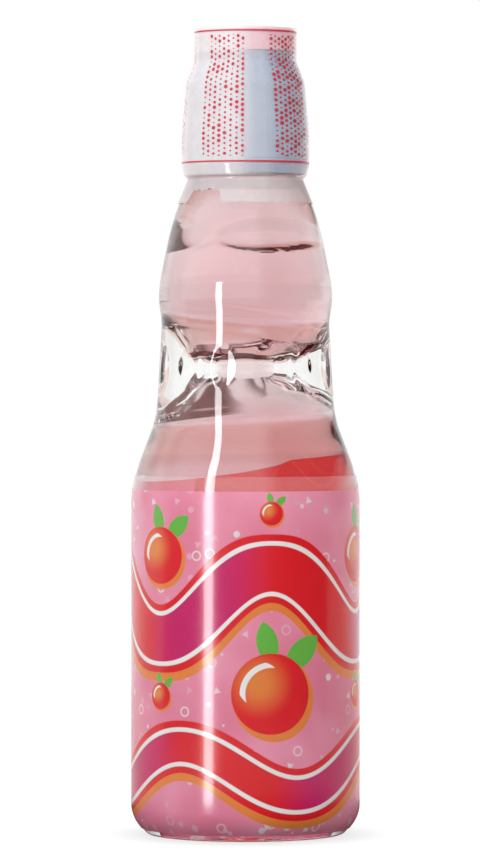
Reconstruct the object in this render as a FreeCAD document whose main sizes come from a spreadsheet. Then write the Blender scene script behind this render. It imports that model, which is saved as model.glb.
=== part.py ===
import FreeCAD
import Part
import Sketcher
import math
import os
from types import SimpleNamespace

# A marble stopper soda bottle, in millimetres. Up is +Z, and the origin is the middle of its foot.
# Heights are given as rises, each from the level below it.
SIZES = {
    # glass outside
    "body_diameter": 57.9,
    "foot_inset": 3.75,
    "foot_width": 2.7,
    "foot_radius": 1.6,
    "heel_height": 4.75,
    "heel_radius": 11.0,
    "punt_height": 4.0,
    "punt_radius": 6.0,
    "body_height": 90.5,
    "shoulder_radius": 33.0,
    "shoulder_rise": 16.15,
    "waist_diameter": 45.6,
    "waist_radius": 25.0,
    "waist_rise": 24.15,
    "pinch_inset": 1.1,
    "pinch_radius": 16.0,
    "flank_rise": 7.4,
    "chamber_diameter": 45.0,
    "chamber_radius": 24.0,
    "chamber_rise": 18.3,
    "neck_diameter": 37.8,
    "neck_radius": 60.0,
    "neck_rise": 11.1,
    "collar_step": 2.0,
    "collar_radius": 2.5,
    "collar_rise": 0.8,
    "finish_wall": 3.2,
    "finish_radius": 1.5,
    "finish_rise": 21.1,
    "rim_radius": 1.2,
    # glass inside
    "wall_thickness": 4.6,
    "floor_thickness": 4.0,
    "floor_radius": 8.0,
    "dome_rise": 4.95,
    "dome_inset": 1.9,
    "dome_radius": 12.0,
    "funnel_rise": 5.0,
    "throat_step": 3.2,
    "throat_radius": 1.6,
    "bowl_depth": 7.4,
    "bowl_radius": 11.5,
    "bowl_fall": 7.6,
    "bowl_inset": 4.7,
    "bowl_floor_radius": 8.0,
    "bowl_rise": 2.0,
    "bore_clearance": 0.7,
    "bore_rise": 2.9,
    "bore_radius": 8.0,
    "rim_flare": 0.8,
    # waist flutes and the two ears that catch the marble
    "flute_radius": 9.1,
    "flute_depth": 0.9,
    "flute_reach": 12.6,
    "flute_offset": 3.4,
    "ear_radius": 5.0,
    "ear_spread": 6.3,
    "dent_flare": 1.9,
    "ear_reach": 3.0,
    "ear_depth": 2.6,
    "ear_lip": 0.4,
    "ear_right": 2.9,
    "ear_left": 10.1,
    "ear_rise": 12.3,
    # marble
    "marble_diameter": 17.0,
    "marble_clearance": 0.25,
    # gasket
    "gasket_step": 3.0,
    "gasket_inset": 2.0,
    "gasket_thickness": 2.9,
    "gasket_radius": 0.5,
    "seat_clearance": 0.05,
    # screw cap
    "cap_clearance": 0.2,
    "cap_wall": 3.0,
    "cap_rim_inset": 0.7,
    "cap_rim_rise": 2.4,
    "cap_rim_radius": 0.5,
    "cap_band_rise": 1.3,
    "cap_groove_depth": 0.25,
    "cap_groove_height": 0.6,
    "cap_wall_rise": 8.0,
    "cap_wall_radius": 30.0,
    "cap_shoulder_wall": 1.9,
    "cap_shoulder_radius": 3.0,
    "cap_shoulder_rise": 5.9,
    "cap_boss_inset": 0.55,
    "cap_boss_rise": 2.1,
    "cap_edge_radius": 0.4,
    "cap_top_thickness": 7.45,
    "cap_bore_clearance": 0.6,
    "gasket_side_clearance": 0.3,
    "gasket_seat_clearance": 0.5,
    # opener plunger
    "stem_clearance": 0.2,
    "mouth_clearance": 0.4,
    "stem_end_clearance": 0.7,
    "stem_radius": 0.8,
    "stem_flute_radius": 2.4,
    "stem_flute_depth": 1.5,
    "head_overhang": 2.2,
    "head_thickness": 2.6,
    "head_radius": 0.5,
    "head_drop": 0.2,
    "dish_inset": 2.5,
    "dish_depth": 1.0,
    "dish_radius": 1.5,
    # break-off ring round the opener
    "head_clearance": 0.4,
    "ring_clearance": 0.1,
    "ring_width": 3.35,
    "ring_height": 5.9,
    "ring_draft": 0.2,
    "ring_edge_radius": 0.9,
    "ring_wall": 1.0,
    "ring_hollow_depth": 3.6,
    "nib_width": 0.9,
    "nib_height": 0.8,
    "nib_drop": 1.4,
    "nib_clearance": 0.15,
    # cap film
    "film_clearance": 0.15,
    "film_thickness": 0.2,
    "film_tuck": 0.35,
    "film_radius": 1.0,
    "skirt_drop": 6.4,
    "tear_offset": 10.2,
    "tear_width": 8.2,
    "tear_rise": 3.6,
    "tear_slant": 1.6,
    # body label
    "label_clearance": 0.15,
    "label_thickness": 0.2,
    "label_lift": 1.6,
    "label_rise": 1.4,
    # drink
    "drink_clearance": 0.15,
    "fill_rise": 9.5,
    # every cut runs this far past what it cuts
    "overrun": 2.0,
}
COUNTS = {
    "flute_count": 13,
    "stem_flute_count": 4,
    "nib_count": 4,
}
PUNT_SHARE = 0.6
FLUTE_LEVEL_SHARE = 0.53
ROUNDING_SHARE = 0.45

doc = FreeCAD.newDocument("marble_stopper_bottle")
sheet = doc.addObject("Spreadsheet::Sheet", "Sizes")
for row, (alias, number) in enumerate({**SIZES, **COUNTS}.items(), start=1):
    sheet.set(f"A{row}", alias)
    sheet.set(f"B{row}", str(number))
    sheet.setAlias(f"B{row}", alias)
doc.recompute()


class Size:
    """A length of the bottle: the sheet formula that gives it, and its value now."""

    def __init__(self, formula, value):
        self.formula = formula
        self.value = value

    def __add__(self, other):
        return Size(f"({self.formula} + {other.formula})", self.value + other.value)

    def __sub__(self, other):
        return Size(f"({self.formula} - {other.formula})", self.value - other.value)

    def __mul__(self, other):
        other = as_size(other)
        return Size(f"({self.formula} * {other.formula})", self.value * other.value)

    def __truediv__(self, other):
        other = as_size(other)
        return Size(f"({self.formula} / {other.formula})", self.value / other.value)

    def root(self):
        return Size(f"sqrt({self.formula})", math.sqrt(self.value))

    def at_most(self, other):
        return Size(f"min({self.formula}; {other.formula})", min(self.value, other.value))


def as_size(number):
    """A plain factor, such as a half, as a size."""
    return number if isinstance(number, Size) else Size(str(number), number)


ZERO = as_size(0)
ONE = as_size(1)
size = SimpleNamespace(**{alias: Size(f"Sizes.{alias}", sheet.get(alias)) for alias in SIZES})


def origin_part(body, role):
    """One of a body's own origin planes or axes."""
    return [part for part in body.Origin.OriginFeatures if part.Role == role][0]


def new_body(label):
    body = doc.addObject("PartDesign::Body", label)
    body.Label = label
    return body


def length_between(start, end):
    across = end[0] - start[0]
    up = end[1] - start[1]
    return (across * across + up * up).root()


def eased_radius(before, corner, after):
    """The corner's radius, limited so that its rounding stays within the two straights beside it."""
    side, other = length_between(corner, before), length_between(corner, after)
    dot = (before[0] - corner[0]) * (after[0] - corner[0])
    dot = dot + (before[1] - corner[1]) * (after[1] - corner[1])
    cosine = dot / (side * other)
    tangent = ((ONE - cosine) / (ONE + cosine)).root()
    return corner[2].at_most(side.at_most(other) * ROUNDING_SHARE * tangent)


def profile(body, name, corners):
    """A closed profile on the body's upright plane. A corner is (out, up) or (out, up, radius)."""
    sketch = body.newObject("Sketcher::SketchObject", name)
    sketch.AttachmentSupport = [(origin_part(body, "XZ_Plane"), "")]
    sketch.MapMode = "FlatFace"
    points = [FreeCAD.Vector(corner[0].value, corner[1].value, 0) for corner in corners]
    count = len(corners)
    starts, ends, rounds = list(points), list(points), {}
    for k, corner in enumerate(corners):
        if len(corner) == 2:
            continue
        before, after = corners[k - 1], corners[(k + 1) % count]
        radius = eased_radius(before, corner, after)
        back = (points[k - 1] - points[k]).normalize()
        ahead = (points[(k + 1) % count] - points[k]).normalize()
        half = back.getAngle(ahead) / 2
        ends[k] = points[k] + back * (radius.value / math.tan(half))
        starts[k] = points[k] + ahead * (radius.value / math.tan(half))
        middle = points[k] + (back + ahead).normalize() * (radius.value / math.sin(half))
        rounds[k] = (radius, middle, back.cross(ahead).z < 0)
    for k in range(count):
        sketch.addGeometry(Part.LineSegment(starts[k], ends[(k + 1) % count]))
    formulas = {}

    def constrain(kind, *where, formula=None):
        index = sketch.addConstraint(Sketcher.Constraint(kind, *where))
        if formula:
            formulas[index] = formula

    def fix(geometry, corner):
        for kind, axis, length in (("DistanceX", -2, corner[0]), ("DistanceY", -1, corner[1])):
            if length is ZERO:
                constrain("PointOnObject", geometry, 1, axis)
            else:
                constrain(kind, -1, 1, geometry, 1, length.value, formula=length.formula)

    for k, corner in enumerate(corners):
        line, previous = k, (k - 1) % count
        if k not in rounds:
            constrain("Coincident", previous, 2, line, 1)
            fix(line, corner)
            continue
        radius, middle, leftward = rounds[k]
        first, last = (ends[k], starts[k]) if leftward else (starts[k], ends[k])
        circle = Part.Circle(middle, FreeCAD.Vector(0, 0, 1), radius.value)
        arc = Part.ArcOfCircle(circle, circle.parameter(first), circle.parameter(last))
        arc = sketch.addGeometry(arc)
        point = sketch.addGeometry(Part.Point(points[k]), True)
        constrain("Tangent", previous, 2, arc, 1 if leftward else 2)
        constrain("Tangent", line, 1, arc, 2 if leftward else 1)
        constrain("PointOnObject", point, 1, previous)
        constrain("PointOnObject", point, 1, line)
        fix(point, corner)
        constrain("Radius", arc, radius.value, formula=radius.formula)
    for index, formula in formulas.items():
        sketch.setExpression(f"Constraints[{index}]", formula)
    sketch.Visibility = False
    return sketch


def turn(body, kind, name, corners):
    """A profile turned about the bottle's axis: a Revolution adds it and a Groove cuts it."""
    sketch = profile(body, name + "Profile", corners)
    feature = body.newObject("PartDesign::" + kind, name)
    feature.Profile = sketch
    feature.ReferenceAxis = (sketch, ["V_Axis"])
    feature.Angle = 360
    doc.recompute()
    return feature


def primitive(body, kind, name, place, **lengths):
    """A primitive added to or cut from the body, with its place and lengths tied to the sheet."""
    feature = body.newObject("PartDesign::" + kind, name)
    for axis, length in zip("xyz", place):
        feature.setExpression(f"Placement.Base.{axis}", length.formula)
    for key, length in lengths.items():
        feature.setExpression(key, length.formula)
    doc.recompute()
    return feature


def ring_of(body, name, feature, alias):
    """Copies of a feature, evenly round the bottle's axis."""
    pattern = body.newObject("PartDesign::PolarPattern", name)
    pattern.Originals = [feature]
    pattern.Axis = (origin_part(body, "Z_Axis"), [""])
    pattern.Angle = 360
    pattern.setExpression("Occurrences", f"Sizes.{alias}")
    body.Tip = pattern
    doc.recompute()


def moved(corners, out):
    """A chain of corners, each moved outwards by the same length."""
    return [(corner[0] + out, *corner[1:]) for corner in corners]


def cut_off(body, name, low, high):
    """Cuts away all that lies between two levels."""
    reach = size.body_diameter
    turn(body, "Groove", name, [(ZERO, low), (reach, low), (reach, high), (ZERO, high)])


def sleeve(label, chain, clearance, thickness, low, high):
    """A skin over a chain of outside corners, which runs past the skin's two ends."""
    body = new_body(label)
    bottom, top = chain[0][1], chain[-1][1]
    outside, inside = moved(chain, clearance + thickness), moved(chain, clearance)
    turn(body, "Revolution", label + "_skin", [(ZERO, bottom), *outside, (ZERO, top)])
    turn(body, "Groove", label + "_inside", [(ZERO, bottom), *inside, (ZERO, top)])
    cut_off(body, label + "_top_end", high, top + size.overrun)
    cut_off(body, label + "_low_end", ZERO if bottom is ZERO else bottom - size.overrun, low)
    return body


# levels up the bottle
waist_level = size.body_height + size.shoulder_rise
pinch_level = waist_level + size.waist_rise
chamber_level = pinch_level + size.flank_rise
neck_level = chamber_level + size.chamber_rise
collar_level = neck_level + size.neck_rise
finish_level = collar_level + size.collar_rise
rim_level = finish_level + size.finish_rise
dome_level = waist_level + size.dome_rise
bowl_level = chamber_level - size.bowl_depth
bowl_floor_level = bowl_level - size.bowl_fall
ear_level = chamber_level + size.ear_rise
cap_level = finish_level + size.cap_clearance
gasket_level = rim_level + size.seat_clearance
cap_roof_level = gasket_level + size.gasket_thickness + size.seat_clearance
cap_top_level = cap_roof_level + size.cap_top_thickness
ring_level = cap_top_level + size.ring_clearance
ring_top_level = ring_level + size.ring_height

# radii that more than one piece follows
body_out = size.body_diameter / 2
foot_out = body_out - size.foot_inset
foot_in = foot_out - size.foot_width
waist_out = size.waist_diameter / 2
chamber_out = size.chamber_diameter / 2
pinch_out = chamber_out - size.pinch_inset
neck_out = size.neck_diameter / 2
marble_out = size.marble_diameter / 2
bore_in = marble_out + size.bore_clearance
finish_out = bore_in + size.finish_wall
collar_out = finish_out + size.collar_step
throat_in = marble_out - size.throat_step / 2
gasket_in = marble_out - size.gasket_step / 2
gasket_out = finish_out - size.gasket_inset / 2
stem_out = gasket_in - size.stem_clearance
mouth_in = stem_out + size.mouth_clearance
head_out = stem_out + size.head_overhang
ring_in = head_out + size.head_clearance
ring_out = ring_in + size.ring_width
cap_in = finish_out + size.cap_bore_clearance
cap_out = cap_in + size.cap_wall

# the glass: a punted foot, straight body, shoulder, fluted waist, marble chamber, neck and finish
heel_chain = [
    (foot_out, ZERO, size.foot_radius),
    (body_out, size.heel_height, size.heel_radius),
    (body_out, size.body_height, size.shoulder_radius),
]
waist_corner = (waist_out, waist_level, size.waist_radius)
glass = new_body("glass_bottle")
turn(glass, "Revolution", "GlassBlank", [
    (ZERO, size.punt_height),
    (foot_in * PUNT_SHARE, size.punt_height, size.punt_radius),
    (foot_in, ZERO, size.foot_radius),
    *heel_chain,
    waist_corner,
    (pinch_out, pinch_level, size.pinch_radius),
    (chamber_out, chamber_level, size.chamber_radius),
    (neck_out, neck_level, size.neck_radius),
    (collar_out, collar_level, size.collar_radius),
    (finish_out, finish_level, size.finish_radius),
    (finish_out, rim_level, size.rim_radius),
    (ZERO, rim_level),
])


def cavity(inset):
    """The bottle's inside up to the bore, drawn in by an inset."""
    wall = size.wall_thickness + inset
    floor_level = size.punt_height + size.floor_thickness + inset
    throat = throat_in - inset
    bowl_out = chamber_out - wall
    return [
        (ZERO, floor_level),
        (body_out - wall, floor_level, size.floor_radius),
        (body_out - wall, size.body_height, size.shoulder_radius),
        (waist_out - wall - size.dome_inset, dome_level, size.dome_radius),
        (throat, dome_level + size.funnel_rise, size.throat_radius),
        (throat, bowl_floor_level - size.bowl_rise, size.throat_radius),
        (bowl_out - size.bowl_inset, bowl_floor_level, size.bowl_floor_radius),
        (bowl_out, bowl_level, size.bowl_radius),
        (bowl_out, chamber_level, size.chamber_radius),
        (neck_out - wall, neck_level, size.neck_radius),
        (bore_in - inset, collar_level + size.bore_rise, size.bore_radius),
    ]


flare = size.rim_flare
turn(glass, "Groove", "GlassCavity", [
    *cavity(ZERO),
    (bore_in, rim_level - flare, flare),
    (bore_in + flare * 2, rim_level + flare),
    (ZERO, rim_level + flare),
])
waist_fall = (pinch_out - waist_out) * FLUTE_LEVEL_SHARE
flute_out = waist_out + waist_fall + size.flute_radius - size.flute_depth
flute = primitive(
    glass, "SubtractiveEllipsoid", "Flute",
    ((flute_out * flute_out - size.flute_offset * size.flute_offset).root(), size.flute_offset,
     waist_level + size.waist_rise * FLUTE_LEVEL_SHARE),
    Radius1=size.flute_reach, Radius2=size.flute_radius, Radius3=size.flute_radius,
)
ring_of(glass, "Flutes", flute, "flute_count")

# each ear is pressed in from outside, so the wall keeps its thickness as it swells into the chamber
ear_wall = chamber_out - size.wall_thickness
ear_wall = ear_wall + (neck_out - chamber_out) * (size.ear_rise / size.chamber_rise)
ear_out = ear_wall + size.ear_radius - size.ear_depth


def ears(body, kind, name, out, growth, spread):
    """The two ears at the back of the chamber, at a distance from the axis, grown and spread sideways."""
    for hand, side in (("Right", size.ear_right), ("Left", ZERO - size.ear_left)):
        back = (ear_wall * ear_wall - side * side).root()
        ear = primitive(
            body, kind, name + hand, (side * out / ear_wall, back * out / ear_wall, ear_level),
            Radius1=size.ear_reach + growth, Radius2=spread + growth,
            Radius3=size.ear_radius + growth,
        )
        ear.setExpression("Placement.Rotation.Angle", f"-asin({(side / ear_wall).formula})")
        doc.recompute()


dent_out, dent_spread = ear_out + size.wall_thickness, size.ear_spread + size.dent_flare
ears(glass, "AdditiveEllipsoid", "EarSwelling", ear_out, ZERO, size.ear_spread)
ears(glass, "SubtractiveEllipsoid", "EarDent", dent_out, size.ear_lip, dent_spread)

# the drink fills the glass up to its own level
drink = new_body("drink")
turn(drink, "Revolution", "DrinkBody", [
    *cavity(size.drink_clearance),
    (ZERO, collar_level + size.bore_rise),
])
cut_off(drink, "DrinkLevel", neck_level + size.fill_rise, rim_level)
ears(drink, "SubtractiveEllipsoid", "EarRoom", ear_out, size.drink_clearance, size.ear_spread)

# the marble, held up against the gasket
marble = doc.addObject("Part::Sphere", "marble")
marble.Label = "marble"
marble.setExpression("Radius", marble_out.formula)
seat_drop = (marble_out * marble_out - gasket_in * gasket_in).root()
marble_level = gasket_level - seat_drop - size.marble_clearance
marble.setExpression("Placement.Base.z", marble_level.formula)

# the gasket on the glass rim
gasket_top = gasket_level + size.gasket_thickness
gasket = new_body("cap_gasket")
turn(gasket, "Revolution", "GasketRing", [
    (gasket_in, gasket_level, size.gasket_radius),
    (gasket_out, gasket_level, size.gasket_radius),
    (gasket_out, gasket_top, size.gasket_radius),
    (gasket_in, gasket_top, size.gasket_radius),
])

# the screw cap: a bell with a grooved lower band, a bored roof and a seat for the gasket
rim_corner = (cap_out, cap_level + size.cap_rim_rise, size.cap_rim_radius)
wall_corner = (cap_out, rim_corner[1] + size.cap_wall_rise, size.cap_wall_radius)
boss_level = cap_top_level - size.cap_boss_rise
shoulder_out = cap_in + size.cap_shoulder_wall
shoulder_corner = (shoulder_out, boss_level - size.cap_shoulder_rise, size.cap_shoulder_radius)
boss_out = ring_out - size.cap_boss_inset
groove_level = rim_corner[1] + size.cap_band_rise
groove_half = size.cap_groove_height / 2
seat_out = gasket_out + size.gasket_side_clearance
seat_level = rim_level + size.gasket_seat_clearance
cap = new_body("screw_cap")
turn(cap, "Revolution", "CapBell", [
    (cap_in, cap_level),
    (cap_out - size.cap_rim_inset, cap_level, size.cap_rim_radius),
    rim_corner,
    (cap_out, groove_level - groove_half),
    (cap_out - size.cap_groove_depth, groove_level),
    (cap_out, groove_level + groove_half),
    wall_corner,
    shoulder_corner,
    (boss_out, boss_level, size.cap_edge_radius),
    (boss_out, cap_top_level, size.cap_edge_radius),
    (mouth_in, cap_top_level, size.cap_edge_radius),
    (mouth_in, cap_roof_level),
    (seat_out, cap_roof_level),
    (seat_out, seat_level),
    (cap_in, seat_level),
])

# the break-off ring, hollow underneath, with nibs that held the opener's head
ring_wall = size.ring_wall
hollow_top = ring_level + size.ring_hollow_depth
ring = new_body("opener_ring")
turn(ring, "Revolution", "RingSection", [
    (ring_in, ring_level),
    (ring_in + ring_wall, ring_level),
    (ring_in + ring_wall, hollow_top),
    (ring_out - ring_wall, hollow_top),
    (ring_out - ring_wall, ring_level),
    (ring_out, ring_level),
    (ring_out - size.ring_draft, ring_top_level, size.ring_edge_radius),
    (ring_in, ring_top_level, size.cap_edge_radius),
])
nib = primitive(
    ring, "AdditiveBox", "Nib",
    (head_out + size.nib_clearance, ZERO - size.nib_width / 2,
     ring_top_level - size.nib_drop - size.nib_height),
    Length=size.head_clearance - size.nib_clearance + ring_wall,
    Width=size.nib_width, Height=size.nib_height,
)
ring_of(ring, "Nibs", nib, "nib_count")

# the opener: a dished head on a fluted stem that reaches down to the marble
head_top = ring_top_level - size.head_drop
head_level = head_top - size.head_thickness
stem_level = marble_level + marble_out + size.stem_end_clearance
dish_out = head_out - size.dish_inset
opener = new_body("opener_plunger")
turn(opener, "Revolution", "OpenerBody", [
    (ZERO, stem_level),
    (stem_out, stem_level, size.stem_radius),
    (stem_out, head_level, size.head_radius),
    (head_out, head_level, size.head_radius),
    (head_out, head_top, size.head_radius),
    (dish_out, head_top, size.head_radius),
    (dish_out - size.dish_depth, head_top - size.dish_depth, size.dish_radius),
    (ZERO, head_top - size.dish_depth),
])
stem_flute = primitive(
    opener, "SubtractiveCylinder", "StemFlute",
    (stem_out + size.stem_flute_radius - size.stem_flute_depth, ZERO, stem_level - size.overrun),
    Radius=size.stem_flute_radius,
    Height=head_level - stem_level - size.head_radius + size.overrun,
)
ring_of(opener, "StemFlutes", stem_flute, "stem_flute_count")

# the clear film over the ring, the cap and the top of the neck, torn at its lower left
film_low = collar_level - size.skirt_drop
film = sleeve("cap_film", [
    (neck_out, neck_level),
    (collar_out, collar_level, size.film_radius),
    (cap_out - size.cap_rim_inset, cap_level - size.film_tuck, size.film_radius),
    rim_corner,
    wall_corner,
    shoulder_corner,
    (ring_out, boss_level - size.film_tuck, size.film_radius),
    (ring_out, ring_top_level + size.overrun),
], size.film_clearance, size.film_thickness, film_low, ring_top_level)
tear_left = ZERO - size.tear_offset - size.tear_width / 2
tear_right = ZERO - size.tear_offset + size.tear_width / 2
tear_low, tear_high = film_low - size.overrun, film_low + size.tear_rise
tear = film.newObject("PartDesign::Pocket", "Tear")
tear.Profile = profile(film, "TearProfile", [
    (tear_left - size.tear_slant, tear_low),
    (tear_right, tear_low),
    (tear_right, tear_high),
    (tear_left, tear_high),
])
tear.Reversed = True
tear.setExpression("Length", cap_out.formula + " + Sizes.overrun")
doc.recompute()

# the printed sleeve over the heel, the body and the start of the shoulder
label_top = size.body_height + size.label_rise
label = sleeve(
    "body_label", [*heel_chain, waist_corner[:2]],
    size.label_clearance, size.label_thickness, size.label_lift, label_top,
)

doc.recompute()
for item in doc.Objects:
    if "Invalid" in item.State or "Error" in item.State:
        raise RuntimeError(f"{item.Label} didn't build: {item.State}")
os.makedirs("parts", exist_ok=True)
for node in (glass, drink, marble, gasket, cap, ring, opener, film, label):
    if node.Shape.isNull() or not node.Shape.isValid() or not node.Shape.Solids:
        raise RuntimeError(f"{node.Label} has no sound solid")
    node.Shape.exportStep(f"parts/{node.Label}.step")
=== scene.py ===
import math

import bmesh
import bpy
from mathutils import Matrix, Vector, noise


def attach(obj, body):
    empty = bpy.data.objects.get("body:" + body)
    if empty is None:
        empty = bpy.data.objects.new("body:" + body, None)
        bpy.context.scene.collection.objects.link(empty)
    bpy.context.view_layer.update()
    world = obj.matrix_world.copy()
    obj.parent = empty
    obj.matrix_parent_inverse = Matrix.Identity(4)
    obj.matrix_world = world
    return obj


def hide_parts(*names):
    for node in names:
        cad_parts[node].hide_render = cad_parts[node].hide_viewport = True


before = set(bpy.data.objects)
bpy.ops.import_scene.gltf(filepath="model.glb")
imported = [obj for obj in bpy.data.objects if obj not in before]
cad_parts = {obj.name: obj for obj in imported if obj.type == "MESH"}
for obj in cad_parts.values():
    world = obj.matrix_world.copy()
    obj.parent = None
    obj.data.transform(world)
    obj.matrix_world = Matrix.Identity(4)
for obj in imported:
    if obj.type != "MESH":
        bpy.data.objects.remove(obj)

bl_info = {
    "name": "Marble Stopper Bottle",
    "version": (1, 0, 0),
    "blender": (4, 5, 0),
    "location": "3D View > Sidebar > Bottle",
    "description": "Adds a marble stopper soda bottle with drink, label, cap, opener and film",
    "category": "Add Mesh",
}

MM = 0.001
WHITE = (1.0, 1.0, 1.0)

GLASS_IOR = 1.52
DRINK_IOR = 1.333
PLASTIC_IOR = 1.49
SHEET_IOR = 1.5
DRINK_DENSITY = 27.0

# Roundings of the glass, in mm
HEEL_ROUNDING = 11.0
SHOULDER_ROUNDING = 33.0
CHAMBER_ROUNDING = 24.0
NECK_ROUNDING = 60.0

# Ribbons of the label: level, swing and half width in mm, and shift along the wave
RIBBONS = ((60.0, 9.0, 8.6, 0.0), (18.0, 6.0, 6.6, 2.4))
# Fruits of the label: place as a share of the repeat, level and radius in mm
FRUITS = ((-0.25, 37.5, 10.2), (0.25, 72.0, 7.2), (0.25, 36.5, 3.4), (-0.25, 82.8, 3.0))
# Confetti of the label: spacing in mm, and kind
CONFETTI = ((6.2, "dot"), (9.5, "ring"), (8.0, "triangle"))

# Places of the soft lamps, in metres
SOFT_LAMPS = {"key": (-0.9, -1.2, 0.7), "side": (1.1, -0.9, 0.4), "rear": (0.25, 1.3, 0.5)}
SOFT_LAMP_SIZE = 0.8
SOFT_LAMP_AIM = Vector((0.0, 0.0, 0.1))

# Half the side of the floor and its level, in metres
FLOOR_HALF = 3.0
FLOOR_LEVEL = -0.2 * MM
# Tones of the glowing floor as the glass shows it, with painted shade and painted warm light, and
# as the camera sees it, white with a painted contact shadow
FLOOR_PAINTED_SHADE = (0.09, 0.015, 0.015)
FLOOR_PAINTED_WARM_LIGHT = (0.85, 0.63, 0.58)
FLOOR_PALE = (0.94, 0.94, 0.94)
FLOOR_SHADOW = 0.77
FLOOR_WHITE = 1.02
# Soft edges of the floor's zones, from the axis or back from it, in metres: the painted contact
# shadow, the painted shade under the bottle, the lit ring and front, and the pale far end
FLOOR_CONTACT_SHADOW = (0.02, 0.045)
FLOOR_SHADE_UNDER_BOTTLE = (0.08, 0.13)
FLOOR_RING = ((0.15, 0.19), (0.45, 0.3))
FLOOR_FRONT = (-0.06, 0.02)
FLOOR_FAR = (0.4, 0.65)

# Soft edges of the room's zones, as angles from the front in degrees
PANEL_SIDES = ((-125.0, -100.0), (42.0, 10.0))
BACK_SIDES = ((-118.0, -140.0), (112.0, 130.0))
# Soft edges of the room's zones, as parts of a direction up or to the right
PANEL_TOP = (0.85, 0.7)
OVERHEAD = (0.6, 0.9)
NOTCH_FOOT = (0.12, 0.19)
NOTCH_SIDE = (-0.06, 0.06)
DIM_TINT = (1.0, 0.5, 0.45)


def length(description, millimetres):
    """A size in the sidebar."""
    return bpy.props.FloatProperty(
        description=description, default=millimetres * MM,
        min=0.0, precision=5, unit="LENGTH", subtype="DISTANCE",
    )


def count(description, number):
    """A whole number in the sidebar."""
    return bpy.props.IntProperty(description=description, default=number, min=1)


def share(description, number):
    """A plain factor in the sidebar."""
    return bpy.props.FloatProperty(description=description, default=number, min=0.0)


def bearing(description, degrees):
    """An angle in the sidebar."""
    return bpy.props.FloatProperty(
        description=description, default=math.radians(degrees), subtype="ANGLE", unit="ROTATION",
    )


def colour(description, red, green, blue):
    """A colour in the sidebar."""
    return bpy.props.FloatVectorProperty(
        description=description, default=(red, green, blue),
        size=3, min=0.0, max=1.0, subtype="COLOR",
    )


class BottleGlass(bpy.types.PropertyGroup):
    """Sizes of the glass and of the drink in it"""

    body: length("Outside of the straight body", 28.95)
    body_top: length("Level where the shoulder starts", 90.5)
    heel: length("How far the heel is drawn in at the foot", 3.75)
    heel_level: length("Height of the rounded heel", 4.75)
    punt_level: length("Height of the hollow under the foot", 4.0)
    waist: length("Outside at the foot of the fluted waist", 22.8)
    waist_level: length("Foot of the fluted waist", 106.65)
    pinch: length("Outside at the narrowest place", 21.4)
    pinch_level: length("Narrowest place under the chamber", 130.8)
    chamber: length("Outside of the marble chamber", 22.5)
    chamber_level: length("Widest place of the marble chamber", 138.2)
    neck: length("Outside half way up the neck", 18.9)
    neck_level: length("Half way up the neck", 156.5)
    collar: length("Outside of the collar under the cap", 14.4)
    collar_level: length("Collar under the cap", 167.6)
    finish: length("Outside of the threaded finish", 12.4)
    finish_level: length("Foot of the threaded finish", 168.4)
    rim_level: length("Top of the glass", 189.5)
    lip: length("Chamfer round the mouth", 0.8)
    bore: length("Inside of the mouth", 9.2)
    bore_level: length("Lower end of the straight bore", 170.5)
    throat: length("Passage between body and chamber", 6.9)
    wall: length("Glass of the body and the chamber", 4.6)
    floor: length("Inside floor over the punt", 8.0)
    flutes: count("Lens shaped flutes round the waist", 13)
    flute_level: length("Middle of the flutes", 119.45)
    flute_width: length("Half the width of a flute", 3.4)
    flute_height: length("Half the height of a flute", 5.6)
    flute_depth: length("Depth of a flute", 0.45)
    flute_turn: bearing("Angle of the first flute from the front", 13.4)
    dome_lean: length("How far the dome under the throat hangs down at the left", 5.5)
    bowl_lean: length("How far the bowl over the throat stands up at the left", 5.0)
    ear_wall: length("Inside radius of the chamber at the ears", 15.48)
    ear_right: length("How far the right ear stands right of the middle", 2.9)
    ear_left: length("How far the left ear stands left of the middle", 10.1)
    ear_level: length("Height of the two ears", 150.5)
    ear_width: length("Half the width of an ear", 6.4)
    ear_height: length("Half the height of an ear", 3.05)
    ear_depth: length("How far the right ear swells into the chamber", 2.8)
    ear_left_share: share("Depth of the left ear as a share of the right one's", 0.3)
    thread_pitch: length("Rise of the screw thread in one turn", 4.0)
    thread_height: length("Height of the thread ridge", 0.42)
    fill_level: length("Level of the drink", 166.0)


class BottleTop(bpy.types.PropertyGroup):
    """Sizes of the marble, the gasket, the cap, the opener and the film"""

    marble: length("Radius of the glass marble", 8.5)
    marble_level: length("Height of the marble against its seat", 184.48)
    gasket_in: length("Inside of the gasket", 7.0)
    gasket_out: length("Outside of the gasket", 11.4)
    cap: length("Outside of the cap wall", 16.0)
    cap_in: length("Inside of the cap wall", 13.0)
    cap_level: length("Lower edge of the cap", 168.6)
    cap_edge: length("How far the lower edge of the cap is drawn in", 0.7)
    cap_band: length("Height of the band over the lower edge", 2.4)
    cap_straight: length("Height of the straight wall", 10.4)
    cap_shoulder: length("Outside of the cap shoulder", 14.9)
    cap_drop: length("How far the shoulder lies under the top of the boss", 8.0)
    cap_boss: length("Outside of the boss under the ring", 12.2)
    cap_bore: length("Bore of the cap for the opener", 7.2)
    cap_top: length("Top of the boss", 199.95)
    stem: length("Outside of the opener stem", 6.8)
    stem_level: length("Lower end of the opener stem", 193.68)
    head: length("Outside of the opener head", 9.0)
    ring_in: length("Inside of the pull ring", 9.4)
    ring_out: length("Outside of the pull ring", 12.75)
    ring_top: length("Top of the pull ring", 205.95)
    film_gap: length("Space between the film and the cap", 0.15)
    film_thickness: length("Thickness of the film", 0.2)
    film_low: length("Lower edge of the film", 161.2)
    tear_rise: length("Height of the torn place in the film", 3.6)


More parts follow.
